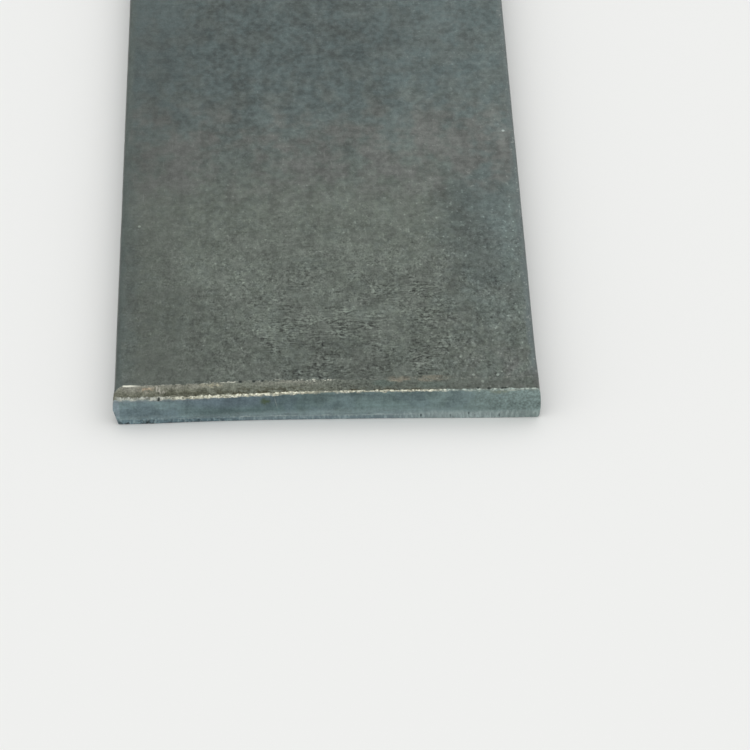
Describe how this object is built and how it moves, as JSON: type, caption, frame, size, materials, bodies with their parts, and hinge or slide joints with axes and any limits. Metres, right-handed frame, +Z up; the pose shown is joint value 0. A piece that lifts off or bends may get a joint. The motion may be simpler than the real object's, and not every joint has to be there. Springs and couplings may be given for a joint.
{
  "type": "stainless steel flat bar",
  "caption": "Length of thin rectangular stainless steel flat stock with rounded mill edges, a matte pickled surface, one sheared end and one sawn end.",
  "frame": {"origin": "centre of the bar's footprint on the floor, under the middle of its length", "axes": "+Y along the bar, away from its sheared end; +X across its width; +Z up out of its upper broad face"},
  "size_m": [0.06, 0.5, 0.005],
  "materials": {
    "pickled_steel": "hot-rolled, annealed and pickled: matte, fine-grained grey"
  },
  "bodies": {
    "root": {"flat_bar": "pickled_steel"}
  },
  "joints": []
}
